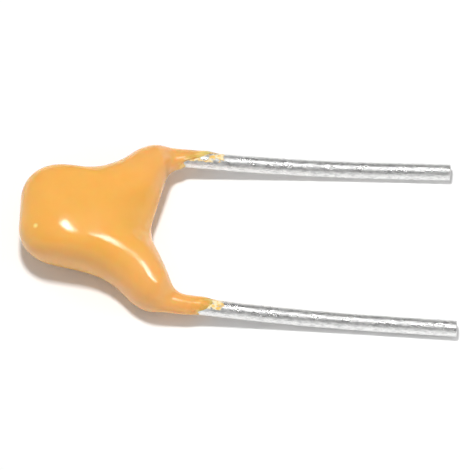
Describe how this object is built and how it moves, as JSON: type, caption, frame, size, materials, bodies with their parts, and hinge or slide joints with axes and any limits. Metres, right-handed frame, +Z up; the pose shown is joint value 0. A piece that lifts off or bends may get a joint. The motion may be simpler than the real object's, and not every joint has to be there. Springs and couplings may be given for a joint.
{
  "type": "multilayer ceramic capacitor",
  "caption": "Dipped radial ceramic capacitor: glossy yellow-orange epoxy bead over a layered chip, with two outside-kinked tinned wire leads.",
  "frame": {"origin": "on the surface the part lies on, under the middle of its bounding box", "axes": "+X along the leads from the bead to their cut ends, +Y across the leads towards the left one, +Z up from the surface"},
  "size_m": [0.0132, 0.0056, 0.0023],
  "materials": {
    "epoxy": "smooth glossy dipped epoxy",
    "dielectric": "fired matt",
    "electrode": "thin fired metal film",
    "termination": "plated",
    "solder": "satin solder",
    "tinned_wire": "hot-tinned, slightly mottled"
  },
  "bodies": {
    "root": {"epoxy_coating": "epoxy", "ceramic_dielectric": "dielectric", "electrodes_left": "electrode", "electrodes_right": "electrode", "termination_left": "termination", "termination_right": "termination", "solder_left": "solder", "solder_right": "solder", "lead_left": "tinned_wire", "lead_right": "tinned_wire"}
  },
  "joints": []
}
